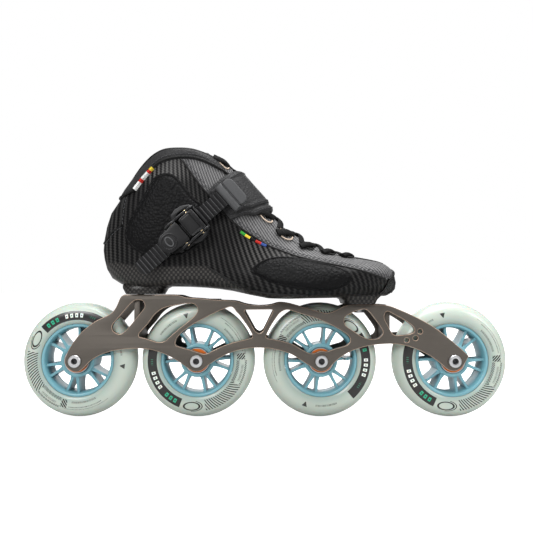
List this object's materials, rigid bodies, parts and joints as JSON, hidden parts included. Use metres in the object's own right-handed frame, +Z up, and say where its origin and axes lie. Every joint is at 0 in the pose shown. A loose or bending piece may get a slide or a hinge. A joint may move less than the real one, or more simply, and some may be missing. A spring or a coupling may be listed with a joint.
{
  "type": "inline speed skate",
  "caption": "Right-foot inline speed skate: low carbon boot with laces and ratchet ankle strap on a truss frame with large road wheels in line.",
  "frame": {"origin": "on the floor, midway between the first and last axles, in the plane of the wheels", "axes": "+X towards the toe, +Y towards the medial side (the other foot), +Z up"},
  "size_m": [0.425, 0.0966, 0.2305],
  "materials": {
    "urethane": "smooth cast, slightly translucent, pale mint white",
    "core_plastic": "moulded light blue plastic",
    "bearing_seal": "orange seal in a steel ring",
    "steel": "bright steel",
    "axle_metal": "bright turned",
    "frame_metal": "warm grey-brown anodised, satin",
    "carbon": "clear-coated black carbon twill",
    "lining_fabric": "padded black textile",
    "upper_leather": "black synthetic leather, pebbled",
    "lace_cord": "flat black polyester",
    "label_cloth": "woven, white with a red and a yellow band",
    "strap_leather": "padded, stitched edges",
    "keeper_plastic": "moulded grey plastic",
    "buckle_plastic": "moulded black nylon",
    "pin_brass": "dull brass"
  },
  "bodies": {
    "chassis": {"ankle_pad_lateral": "upper_leather", "boot_insole": "lining_fabric", "boot_lining": "lining_fabric", "boot_shell": "carbon", "boot_tongue": "upper_leather", "buckle_base": "buckle_plastic", "buckle_lever_pin": "pin_brass", "buckle_pawl_pin": "pin_brass", "collar_label": "label_cloth", "eyelet_stay_lateral": "upper_leather", "eyelet_stay_medial": "upper_leather", "forefoot_pad_lateral": "upper_leather", "frame": "frame_metal", "heel_mount_bolt": "steel", "heel_mount_washer": "steel", "lace": "lace_cord", "strap_screw": "steel", "toe_mount_bolt": "steel", "toe_mount_washer": "steel", "wheel_1_axle": "axle_metal", "wheel_1_bearing_inner_lateral": "steel", "wheel_1_bearing_inner_medial": "steel", "wheel_1_spacer": "steel", "wheel_2_axle": "axle_metal", "wheel_2_bearing_inner_lateral": "steel", "wheel_2_bearing_inner_medial": "steel", "wheel_2_spacer": "steel", "wheel_3_axle": "axle_metal", "wheel_3_bearing_inner_lateral": "steel", "wheel_3_bearing_inner_medial": "steel", "wheel_3_spacer": "steel", "wheel_4_axle": "axle_metal", "wheel_4_bearing_inner_lateral": "steel", "wheel_4_bearing_inner_medial": "steel", "wheel_4_spacer": "steel"},
    "wheel_1": {"wheel_1_tyre": "urethane", "wheel_1_core": "core_plastic", "wheel_1_bearing_outer_lateral": "bearing_seal", "wheel_1_bearing_outer_medial": "bearing_seal"},
    "wheel_2": {"wheel_2_tyre": "urethane", "wheel_2_core": "core_plastic", "wheel_2_bearing_outer_lateral": "bearing_seal", "wheel_2_bearing_outer_medial": "bearing_seal"},
    "wheel_3": {"wheel_3_tyre": "urethane", "wheel_3_core": "core_plastic", "wheel_3_bearing_outer_lateral": "bearing_seal", "wheel_3_bearing_outer_medial": "bearing_seal"},
    "wheel_4": {"wheel_4_tyre": "urethane", "wheel_4_core": "core_plastic", "wheel_4_bearing_outer_lateral": "bearing_seal", "wheel_4_bearing_outer_medial": "bearing_seal"},
    "ratchet_lever": {"buckle_lever": "buckle_plastic"},
    "release_pawl": {"buckle_pawl": "buckle_plastic"},
    "strap": {"ankle_strap": "strap_leather", "strap_keeper": "keeper_plastic", "ladder_strap": "buckle_plastic"}
  },
  "joints": [
    {"name": "wheel_1_spin", "type": "hinge", "parent": "chassis", "child": "wheel_1", "pos_m": [-0.1625, 0, 0.05], "axis": [0, 1, 0], "continuous": true},
    {"name": "wheel_2_spin", "type": "hinge", "parent": "chassis", "child": "wheel_2", "pos_m": [-0.0585, 0, 0.05], "axis": [0, 1, 0], "continuous": true},
    {"name": "wheel_3_spin", "type": "hinge", "parent": "chassis", "child": "wheel_3", "pos_m": [0.0485, 0, 0.05], "axis": [0, 1, 0], "continuous": true},
    {"name": "wheel_4_spin", "type": "hinge", "parent": "chassis", "child": "wheel_4", "pos_m": [0.1625, 0, 0.05], "axis": [0, 1, 0], "continuous": true},
    {"name": "ratchet_lever_lift", "type": "hinge", "parent": "chassis", "child": "ratchet_lever", "pos_m": [-0.06888, -0.0467, 0.15571], "axis": [-0.66, 0, 0.7513], "range_deg": [0, 60], "stiffness_Nm_per_rad": 0.03, "springref_deg": -11.46},
    {"name": "release_pawl_press", "type": "hinge", "parent": "chassis", "child": "release_pawl", "pos_m": [-0.05724, -0.0462, 0.16594], "axis": [-0.66, 0, 0.7513], "range_deg": [0, 18], "stiffness_Nm_per_rad": 0.03, "springref_deg": -11.46},
    {"name": "strap_slide", "type": "slide", "parent": "chassis", "child": "strap", "axis": [0.7513, 0, 0.66], "range_m": [0, 0.0144]}
  ]
}
